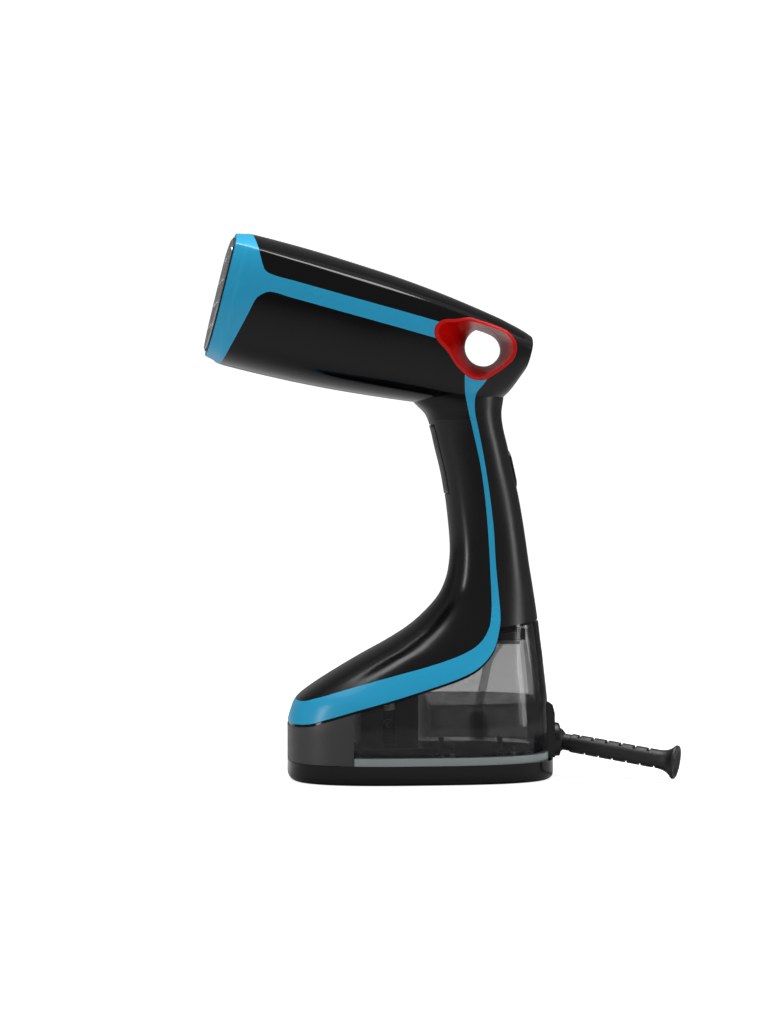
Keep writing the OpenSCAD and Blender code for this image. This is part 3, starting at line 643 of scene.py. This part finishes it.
# %% The funnels
THROAT = (-0.5, -0.5)
THROAT_R = 10
RING_WALL = 1.8
THROAT_HALF = 2.8  # half the length of the straight throat
RING_SPLIT = 0.06  # half of the line where the two funnels meet
FUNNEL_GROW = 2.4  # how much wider the teardrop is past the skin
FUNNEL_STEPS = 14
TAIL_HALF = 26.5
EYE_OUT = TAIL_HALF + 3
TIP_OUT = 5  # the head is wider at the teardrop's tip, so the tip stands further out
TIP_START, TIP_SPAN = 13, 12.5
EYE_CIRCLES = ((-25.5, 0.8, 5.6), (-13, 0, 9.7), (4, -0.5, 8.4), (-4, -10.3, 8.6))
RAYS = 120


def teardrop(grow):
    """How far the teardrop reaches from the throat's middle in each direction."""
    dots = []
    for x, z, radius in EYE_CIRCLES:
        for k in range(96):
            turn = 2 * math.pi * k / 96
            dots.append(
                Vector((x + (radius + grow) * math.cos(turn), z + (radius + grow) * math.sin(turn)))
            )
    outline = [dots[i] for i in geometry.convex_hull_2d(dots)]
    centre = Vector(THROAT)
    reach = []
    for k in range(RAYS):
        turn = 2 * math.pi * k / RAYS
        tip = centre + 100 * Vector((math.cos(turn), math.sin(turn)))
        hits = [
            geometry.intersect_line_line_2d(centre, tip, outline[i - 1], outline[i])
            for i in range(len(outline))
        ]
        reach.append(max((h - centre).length for h in hits if h))
    return reach


def eye_rings(shrink, sign):
    """Rings of the funnel on one side, from the throat to past the skin."""
    wide = teardrop(FUNNEL_GROW - shrink)
    narrow = THROAT_R + RING_WALL - shrink
    rings = []
    for step in range(FUNNEL_STEPS + 1):
        share = step / FUNNEL_STEPS
        ring = []
        for k, reach in enumerate(wide):
            turn = 2 * math.pi * k / RAYS
            tip_share = min(max(-(reach * math.cos(turn) + TIP_START) / TIP_SPAN, 0), 1)
            tip_share *= tip_share * (3 - 2 * tip_share)
            y = THROAT_HALF + (EYE_OUT + TIP_OUT * tip_share - THROAT_HALF) * share
            r = narrow + (reach - narrow) * share**1.15
            ring.append((THROAT[0] + r * math.cos(turn), sign * y, THROAT[1] + r * math.sin(turn)))
        rings.append(ring)
    return rings


def funnel(shrink, sign):
    """The funnel on one side as a solid."""
    rings = eye_rings(shrink, sign)
    low = [(x, -sign * 0.02, z) for x, y, z in rings[0]]
    return in_head(loft([low] + rings))


for sign, name in ((-1, "left"), (1, "right")):
    ring = carve(funnel(0, sign), head_solid, "INTERSECT", keep=True)
    low, high = sorted((sign * RING_SPLIT, sign * 60))
    side_box = prism([[-60, -60], [60, -60], [60, 60], [-60, 60]], low, high)
    ring = carve(ring, in_head(side_box), "INTERSECT")
    ring = carve(ring, funnel(RING_WALL, sign))
    dress(ring, "eye_ring_" + name, red_pc, "housing", ["ring_" + name], edge=0.25)

# %% [markdown]
# ## The head's mouldings
#
# The blue collar and its two arms are one moulding. The roof, the two bands under the crease
# and the black barrel with its neck fit round them.


# %% Walls of the head
def cut_eye(target):
    """Opens the hanging hole through a moulding."""
    through = eye_rings(-SEAM, -1)[::-1] + eye_rings(-SEAM, 1)
    return carve(target, in_head(loft(through)))


head_core = head_form(WALL)
head_wall = carve(twin(head_solid), head_core, keep=True)

collar = carve(twin(head_wall), in_head(prism(collar_area, shrink=SEAM)), "INTERSECT")
carve(collar, face_slab(FACE_X, FACE_X + 3, 2.3))
dress(cut_eye(collar), "blue_collar", blue_abs, "housing", ["front_collar"])

roof = carve(twin(head_wall), in_head(prism(roof_area, shrink=SEAM)), "INTERSECT")
ROCKER_R, ROCKER_HW = 8.2, 7
rocker_turn = at_head @ Matrix.Translation((16.5, 0, 2.4))


def rocker_well():
    """The round pocket that the rocker turns in."""
    reach = ROCKER_HW + MOVE_GAP
    return rod(ROCKER_R + MOVE_GAP, -reach, reach, (0, 0, 0), rocker_turn @ ACROSS)


carve(cut_eye(roof), rocker_well())
dress(roof, "head_roof", piano_abs, "housing", ["roof_panel"])

for sign, name in ((-1, "left"), (1, "right")):
    low, high = sorted((0, sign * 60))
    cutter = in_head(prism(side_area, low, high, shrink=SEAM))
    strip = carve(twin(head_wall), cutter, "INTERSECT")
    dress(
        strip, "crease_band_" + name, piano_abs, "housing", ["side_band_" + name]
    )

# %% [markdown]
# ## The barrel, its neck and the tail
#
# The neck rises out of the grip, flares forward, and runs into the belly of the barrel. The
# two are joined first and hollowed after, so that the wall stays even where they meet. The
# blue arms reach the hanging hole, so the black skin above each arm is a strip of its own.

# %% Barrel and tail
neck = carve(body_form(0, 184, 212), band(SEAM_Z + HAIRLINE, 213), "INTERSECT")
hull = carve(twin(head_solid), neck, "UNION")
carve(hull, in_head(prism(upper_area, shrink=-SEAM)))
UNDER_NECK = 150  # a height well under the neck, where the outlines can close
grip_end = [p for p in trim_back if UNDER_NECK < p[1] < GRIP_TOP] + [
    [FAR, UNDER_NECK], [FAR, GRIP_TOP - 2], [44, GRIP_TOP - 0.6], [36, GRIP_TOP],
]
carve(hull, prism(grip_end, shrink=-SEAM))
hollows = (head_form(WALL, high=17.01), body_form(WALL, 182, 212))


def hollowed(target):
    """Takes the insides of the head and neck out of a moulding."""
    for hollow in hollows:
        carve(target, hollow, keep=True)
    return target


SPLIT_X, OVER_HEAD = 22, 270  # the barrel and the tail meet over the hole
above = [[SPLIT_X, OVER_HEAD], [SPLIT_X, 216]]
fore_area = [p for p in trim_front if p[1] > UNDER_NECK]
fore_area += [[-150, UNDER_NECK], [-150, OVER_HEAD]] + above
low_tail = GRIP_TOP - 1.5
aft_area = [p for p in trim_back if p[1] > low_tail]
aft_area += [[120, low_tail], [120, OVER_HEAD]] + above
barrel = carve(twin(hull), prism(fore_area, shrink=SEAM), "INTERSECT")
barrel = cut_eye(hollowed(barrel))
tail = carve(twin(hull), prism(aft_area, shrink=SEAM), "INTERSECT")
tail = carve(cut_eye(hollowed(tail)), rocker_well())
dress(barrel, "barrel", piano_abs, "housing", ["barrel_shell"])
dress(tail, "tail", satin_abs, "housing", ["tail_shell"])
for sign, name in ((-1, "left"), (1, "right")):
    half = carve(twin(hull), prism(trim_area, *sorted((0, sign * 60)), SEAM), "INTERSECT")
    cut_eye(hollowed(half))
    dress(
        half, "wishbone_" + name, blue_abs, "housing", ["trim_upper_" + name]
    )
for hollow in hollows:
    bpy.data.objects.remove(hollow)
bpy.data.objects.remove(hull)

# %% [markdown]
# ## The grip and the trim
#
# The body's skin is hollowed once, and each moulding of the handle is the part of that wall
# inside its own parting line.

# %% Grip mouldings
body_core = body_form(WALL)
body_wall = carve(twin(body_solid), body_core, keep=True)

TRIGGER_LOW, TRIGGER_HIGH, TRIGGER_HW = 150, 186, 8


def trigger_area(gap, back):
    """The trigger's place on the side view, grown by a gap."""
    low, high = TRIGGER_LOW - gap, TRIGGER_HIGH + gap
    return [[-20, low], [back, low], [back, high], [-20, high]]


front_shell = carve(twin(body_wall), prism(front_area, shrink=SEAM), "INTERSECT")
carve(front_shell, band(25, SEAM_Z - HAIRLINE), "INTERSECT")
trigger_skin = twin(front_shell)
window_hw = TRIGGER_HW + MOVE_GAP
carve(front_shell, prism(trigger_area(MOVE_GAP, 40), -window_hw, window_hw))
dress(front_shell, "grip_front", grip_abs, "housing", ["handle_front"])

PADDLE_PROUD = 0.35
paddle_block = prism(trigger_area(0, 17), -TRIGGER_HW, TRIGGER_HW)
paddle = carve(trigger_skin, paddle_block, "INTERSECT")
paddle.data.transform(Matrix.Translation((-PADDLE_PROUD, 0, 0)))
dress(paddle, "trigger_paddle", piano_abs, "trigger", ["trigger"], edge=0.5)

rear_shell = carve(twin(body_wall), prism(rear_area, shrink=SEAM), "INTERSECT")
BUTTON_Z, BUTTON_LEAN = 162.8, math.radians(12.5)
at_button = Matrix.Translation((edge_at(BUTTON_Z, 2), 0, BUTTON_Z)) @ Matrix.Rotation(
    -BUTTON_LEAN, 4, "Y"
)


def button_block(half_w, half_h, low, high):
    """A block with round ends, square to the back of the grip."""
    bm = bmesh.new()
    bmesh.ops.create_circle(bm, cap_ends=True, segments=48, radius=half_w)
    for corner in bm.verts:
        corner.co.x += math.copysign(half_h - half_w, corner.co.x)
    pulled = bmesh.ops.extrude_face_region(bm, geom=list(bm.faces))["geom"]
    tips = [g for g in pulled if isinstance(g, bmesh.types.BMVert)]
    bmesh.ops.translate(bm, verts=tips, vec=(0, 0, high - low))
    bmesh.ops.translate(bm, verts=bm.verts, vec=(0, 0, low))
    bmesh.ops.transform(bm, matrix=at_button @ ALONG, verts=bm.verts)
    return shape(bm)


carve(rear_shell, button_block(6.3, 10.3, -6, 6))
SCREW_HEAD_R = 3.2
for z in (106, 138):
    carve(rear_shell, rod(SCREW_HEAD_R, 0, 60, (46, 0, z), ALONG))
dress(rear_shell, "grip_rear", satin_abs, "housing", ["handle_rear"])
button = button_block(6, 10, -6, 0.6)
dress(
    button, "steam_lock_button", satin_abs, "rear_button", ["rear_button"], edge=0.7
)

blue_line = carve(twin(body_wall), prism(trim_area, shrink=SEAM), "INTERSECT")
carve(blue_line, band(20, SEAM_Z - HAIRLINE), "INTERSECT")
dress(blue_line, "blue_sweep", blue_abs, "housing", ["trim_lower"])

# %% [markdown]
# ## The base
#
# Under the trim a black deck shows as a thin lip. The front panel, the pale seal and the
# glossy pan carry the form down to the table.

# %% Deck, panel, seal and pan
deck = carve(body_form(0.5, 20, 96), prism(lip_area, shrink=0.05), "INTERSECT")
dress(deck, "deck", piano_abs, "housing", ["chassis"])

panel = carve(twin(body_wall), prism(lowered(lip_line, LIP) + [[-FAR, 0], [FAR, 0]]), "INTERSECT")
carve(panel, band(PAN_H + SEAM, 45, -FAR, PANEL_X), "INTERSECT")
dress(panel, "front_cheek", panel_abs, "housing", ["front_panel"])

SPINE_HW, NICHE_D = 12, 4.4


def niche(clear):
    """The slot up the back of the tank, grown or drawn in by a clearance."""
    line = [[edge_at(z, 2) - NICHE_D + clear, z] for z in range(4, 93, 4)]
    return prism(line + [[FAR, 92], [FAR, 4]], -SPINE_HW + clear, SPINE_HW - clear)


seal = carve(body_form(0, 4, 29), band(PAN_H, TANK_FLOOR, PANEL_X + 0.3), "INTERSECT")
carve(seal, carve(body_form(4, 4, 29), band(PAN_H - 1, TANK_FLOOR + 1, PANEL_X + 4.3), "INTERSECT"))
carve(seal, niche(0))
dress(seal, "tank_gasket", seal_rubber, "tank", ["tank_seal"], edge=0.3)

pan_rows = smooth_rows(
    [
        [0, -HALF_L + 2.6, HALF_L - 3, HALF_W - 2.6, 2.9],
        [0.5, -HALF_L + 1.5, HALF_L - 2, HALF_W - 1.5, 2.9],
        [1.6, -HALF_L + 0.5, HALF_L - 1, HALF_W - 0.5, 2.9],
        [3.4, -HALF_L, HALF_L - 0.5, HALF_W, 2.9],
        [7, -HALF_L, HALF_L - 0.5, HALF_W, 2.9],
        [PAN_H - 0.1, -HALF_L, HALF_L - 0.5, HALF_W, 2.9],
    ],
    3,
)
pan = loft([body_ring(r, 0) for r in pan_rows])
pan_hollow = loft([[(x, y, z + 2.4) for x, y, z in body_ring(r, 2.4)] for r in pan_rows])
carve(pan, pan_hollow)
for x in (14, 46):
    for y in (-24, 24):
        carve(pan, rod(SCREW_HEAD_R, -1, 4.6, (x, y, 0), UP))
FOOT_R = 5
foot_low, foot_high = box_mm("rubber_feet")
for x in (foot_low.x + FOOT_R, foot_high.x - FOOT_R):
    for y in (foot_low.y + FOOT_R, foot_high.y - FOOT_R):
        carve(pan, rod(FOOT_R + 0.03, -1, 1, (x, y, 0), UP))
dress(pan, "gloss_pan", piano_abs, "tank", ["base_pan"])

# %% [markdown]
# ## The water tank
#
# The tank is one clear smoky moulding: a thin skin outside and a partition that leaves a dry
# well for the pump. Inside it, low down, a darker smoky sheet makes the bottom half darker.

# %% The tank
TANK_T, PARTITION_X, WELL_END = 2.2, 0.5, -1.5
ROOF_DROP = 0.3


def tank_block(inset, drop, x_low, x_high, z_low, z_high=96):
    """The body's form under the lip between some limits."""
    block = body_form(inset, 4, 96)
    carve(block, prism(lowered(lip_line, LIP + drop) + [[-FAR, 0], [FAR, 0]]), "INTERSECT")
    return carve(block, band(z_low, z_high, x_low, x_high), "INTERSECT")


tank = tank_block(0, ROOF_DROP, PANEL_X + 0.3, FAR, TANK_FLOOR)
carve(tank, niche(0))
water_space = tank_block(TANK_T, ROOF_DROP + 2.4, PARTITION_X, FAR, TANK_FLOOR + 2)
carve(water_space, niche(-TANK_T))
carve(tank, water_space, keep=True)
dry_well = carve(
    body_form(TANK_T, 4, 96),
    band(TANK_FLOOR + 2, 96, PANEL_X + 0.3 + TANK_T, WELL_END),
    "INTERSECT",
)
carve(tank, dry_well)
VALVE_X = 47
carve(tank, rod(9, 60, 100, (VALVE_X, 0, 0), UP))
dress(tank, "smoked_tank", smoked_san, "tank", ["tank_shell"])

# A darker smoky sheet inside the tank, below this height, makes the bottom half darker
LEVEL_Z = 41.5
darker_lower_sheet = carve(twin(water_space), band(TANK_FLOOR + 2.3, LEVEL_Z, PARTITION_X + 0.3), "INTERSECT")
inner = body_form(TANK_T + 1.2, 4, 96)
carve(inner, band(TANK_FLOOR, LEVEL_Z + 3, PARTITION_X + 1.5), "INTERSECT")
carve(inner, niche(-TANK_T - 1.2))
carve(darker_lower_sheet, inner)
dress(darker_lower_sheet, "tank_darker_lower_sheet", deep_smoke, "tank", [])
bpy.data.objects.remove(water_space)

# %% [markdown]
# ## The spine and the cord outlet
#
# Behind the tank a black spine runs down to a ball socket. The boot on the ball is a
# ribbed rubber sleeve: slots cut from two sides in turn let it bend, and its end is a
# trumpet, so that the lead never turns on a sharp edge. It starts as a spun profile.

# %% The ribbed boot
BALL = Vector((71, 0, 18.8))
BOOT_L, BOOT_R, FLARE_R, NECK_END = 68, 5.0, 8.9, 10
DROOP = math.asin((BALL.z - FLARE_R - 0.3) / BOOT_L)
at_boot = (
    Matrix.Translation(BALL)
    @ Matrix.Rotation(math.radians(-25), 4, "Z")
    @ Matrix.Rotation(DROOP, 4, "Y")
    @ ALONG
)
boot_profile = [
    (3.1, NECK_END), (4.5, NECK_END), (5.0, NECK_END + 0.5), (5.0, 40), (5.0, 58.5),
    (5.35, 61), (6.1, 63.2), (7.4, 65), (8.5, 66), (8.9, 66.5), (8.9, 67.5), (8.5, 68),
    (7.4, 67.9), (6.2, 67), (4.6, 66.2), (3.1, 66),
]
bm = bmesh.new()
line = [bm.verts.new((r, 0, z)) for r, z in boot_profile]
strip = [bm.edges.new((line[i - 1], line[i])) for i in range(len(line))]
bmesh.ops.spin(
    bm,
    geom=line + strip,
    cent=(0, 0, 0),
    axis=(0, 0, 1),
    angle=2 * math.pi,
    steps=64,
    use_merge=True,
)
boot = shape(bm)
SLOTS, SLOT_PITCH, SLOT_W, SLOT_D = 6, 7.6, 1.5, 1.5
for k in range(SLOTS):
    for side in (0, 1):
        z = NECK_END + 4.5 + (k + side / 2) * SLOT_PITCH
        bm = bmesh.new()
        bmesh.ops.create_cube(bm, size=1)
        bmesh.ops.scale(bm, vec=(4, 12, SLOT_W), verts=bm.verts)
        x = (BOOT_R - SLOT_D + 2) * (1 if side else -1)
        bmesh.ops.translate(bm, vec=(x, 0, z), verts=bm.verts)
        carve(boot, shape(bm))
boot.data.transform(at_boot)
dress(boot, "ribbed_boot", black_rubber, "cord_swivel", ["cord_boot"], edge=0.25)

# %% [markdown]
# ## Steam face
#
# A sheet of stainless steel with rows of holes closes the front of the collar.

# %% The plate
PLATE_T = 2.6
STEAM_HOLE_R, HOLE_PITCH, ROW_PITCH, LOWEST_ROW = 1.5, 9, 12, -24
plate = face_slab(FACE_X, FACE_X + PLATE_T, 3.4)


def plate_hole(y, z, start):
    """A hole square through the plate, from a depth on."""
    place = at_head @ Matrix.Translation((FACE_X, y, z)) @ ALONG
    carve(plate, rod(STEAM_HOLE_R, start, 4, (0, 0, 0), place, 24))


for row in range(4):
    shift = row % 2
    for k in range(7 - shift):
        plate_hole((k - 3 + shift * 0.5) * HOLE_PITCH, row * ROW_PITCH + LOWEST_ROW, -1)
for y in (-20, 20):
    for z in (-29, 15):
        plate_hole(y, z, 1)
dress(plate, "soleplate", brushed_steel, "housing", ["steam_plate"], edge=0.3)

for spare in (head_solid, head_core, head_wall, body_solid, body_wall, body_core):
    bpy.data.objects.remove(spare)

# %% [markdown]
# ## Finishes for the fixed pieces
#
# What stays as the frame has it only needs its real finish.

# %% Dress the fixed pieces
finishes = {
    plain_steel: "heater_tube thermostat boiler_screws trigger_pin trigger_spring handle_screws"
    " pump_plunger valve_spring pan_screws",
    cast_metal: "boiler",
    white_nylon: "thermal_fuse tank_valve",
    hose_silicone: "steam_hose water_hose",
    dark_gasket: "plate_seal valve_seat",
    board_laminate: "control_board",
    satin_abs: "microswitch power_rocker rear_spine pump_cradle pump_body",
    black_rubber: "cord_ball rubber_feet",
    clear_tube: "suction_tube suction_filter",
}
for material, names in finishes.items():
    for name in names.split():
        nodes[name].data.materials.clear()
        nodes[name].data.materials.append(material)
print(sum(len(names.split()) for names in finishes.values()), "fixed pieces dressed")

# %% [markdown]
# ## Studio
#
# A plain pale sweep, a broad soft light above, and a narrow strip at each side. The paper
# glows for the camera only, and the room gives less light than it shows, so that polished
# black stays dark.

# %% Sweep, lights and camera
BEND_Y, BEND_R = 2.0, 1.0
sweep_line = [(-6, 0), (BEND_Y, 0)]
for step in range(1, 13):
    turn = math.radians(90 * step / 12)
    sweep_line.append((BEND_Y + BEND_R * math.sin(turn), BEND_R * (1 - math.cos(turn))))
sweep_line.append((BEND_Y + BEND_R, 4))
bm = bmesh.new()
UNDER_FEET = 0.0002  # the paper lies a hair under the feet
line = [bm.verts.new((-6, y, z - UNDER_FEET)) for y, z in sweep_line]
strip = [bm.edges.new(pair) for pair in zip(line, line[1:])]
pulled = bmesh.ops.extrude_edge_only(bm, edges=strip)["geom"]
far_edge = [g for g in pulled if isinstance(g, bmesh.types.BMVert)]
bmesh.ops.translate(bm, verts=far_edge, vec=(12, 0, 0))
sweep = shape(bm, "sweep")
sweep.data.shade_smooth()
paper = bpy.data.materials.new("white_paper")
paper.use_nodes = True
paper_skin = paper.node_tree.nodes["Principled BSDF"]
paper_skin.inputs["Base Color"].default_value = linear("#B4B4B4")
paper_skin.inputs["Roughness"].default_value = 0.9
paper_skin.inputs["Emission Color"].default_value = (1, 1, 1, 1)
seen = add_node(paper, "ShaderNodeLightPath").outputs["Is Camera Ray"]
bright = add_node(paper, "ShaderNodeMapRange", {"To Min": 0.0, "To Max": 0.85}, {"Value": seen})
paper.node_tree.links.new(bright.outputs["Result"], paper_skin.inputs["Emission Strength"])
sweep.data.materials.append(paper)


def soft_light(name, place, aim, size, power):
    """A large soft box that points at a place."""
    data = bpy.data.lights.new(name, "AREA")
    data.shape, data.size, data.size_y, data.energy = "RECTANGLE", size[0], size[1], power
    lamp = bpy.data.objects.new(name, data)
    lamp.location = place
    lamp.rotation_euler = (Vector(aim) - Vector(place)).to_track_quat("-Z", "Y").to_euler()
    bpy.context.scene.collection.objects.link(lamp)


soft_light("top_box", (0, 0.1, 1.6), (0, 0, 0.1), (1.6, 1.0), 34)
soft_light("left_strip", (-1.5, -0.7, 0.45), (0, 0, 0.15), (0.2, 1.1), 6)
soft_light("right_strip", (1.5, -0.7, 0.45), (0.02, 0, 0.12), (0.22, 1.1), 7)

world = bpy.data.worlds.new("studio")
world.use_nodes = True
room = world.node_tree.nodes["Background"]
room.inputs["Color"].default_value = (1, 1, 1, 1)
path = world.node_tree.nodes.new("ShaderNodeLightPath")
glow = world.node_tree.nodes.new("ShaderNodeMapRange")
glow.inputs["To Min"].default_value = 0.3
world.node_tree.links.new(path.outputs["Is Camera Ray"], glow.inputs["Value"])
world.node_tree.links.new(glow.outputs["Result"], room.inputs["Strength"])
bpy.context.scene.world = world
bpy.context.scene.view_settings.view_transform = "Standard"

EYE, AIM = Vector((-0.170, -1.458, 0.180)), Vector((-0.0194, 0, 0.1402))
lens = bpy.data.cameras.new("camera")
lens.lens, lens.sensor_width, lens.clip_end = 97.7, 36, 20
camera = bpy.data.objects.new("camera", lens)
camera.location = EYE
camera.rotation_euler = (AIM - EYE).to_track_quat("-Z", "Y").to_euler()
bpy.context.scene.collection.objects.link(camera)
bpy.context.scene.camera = camera
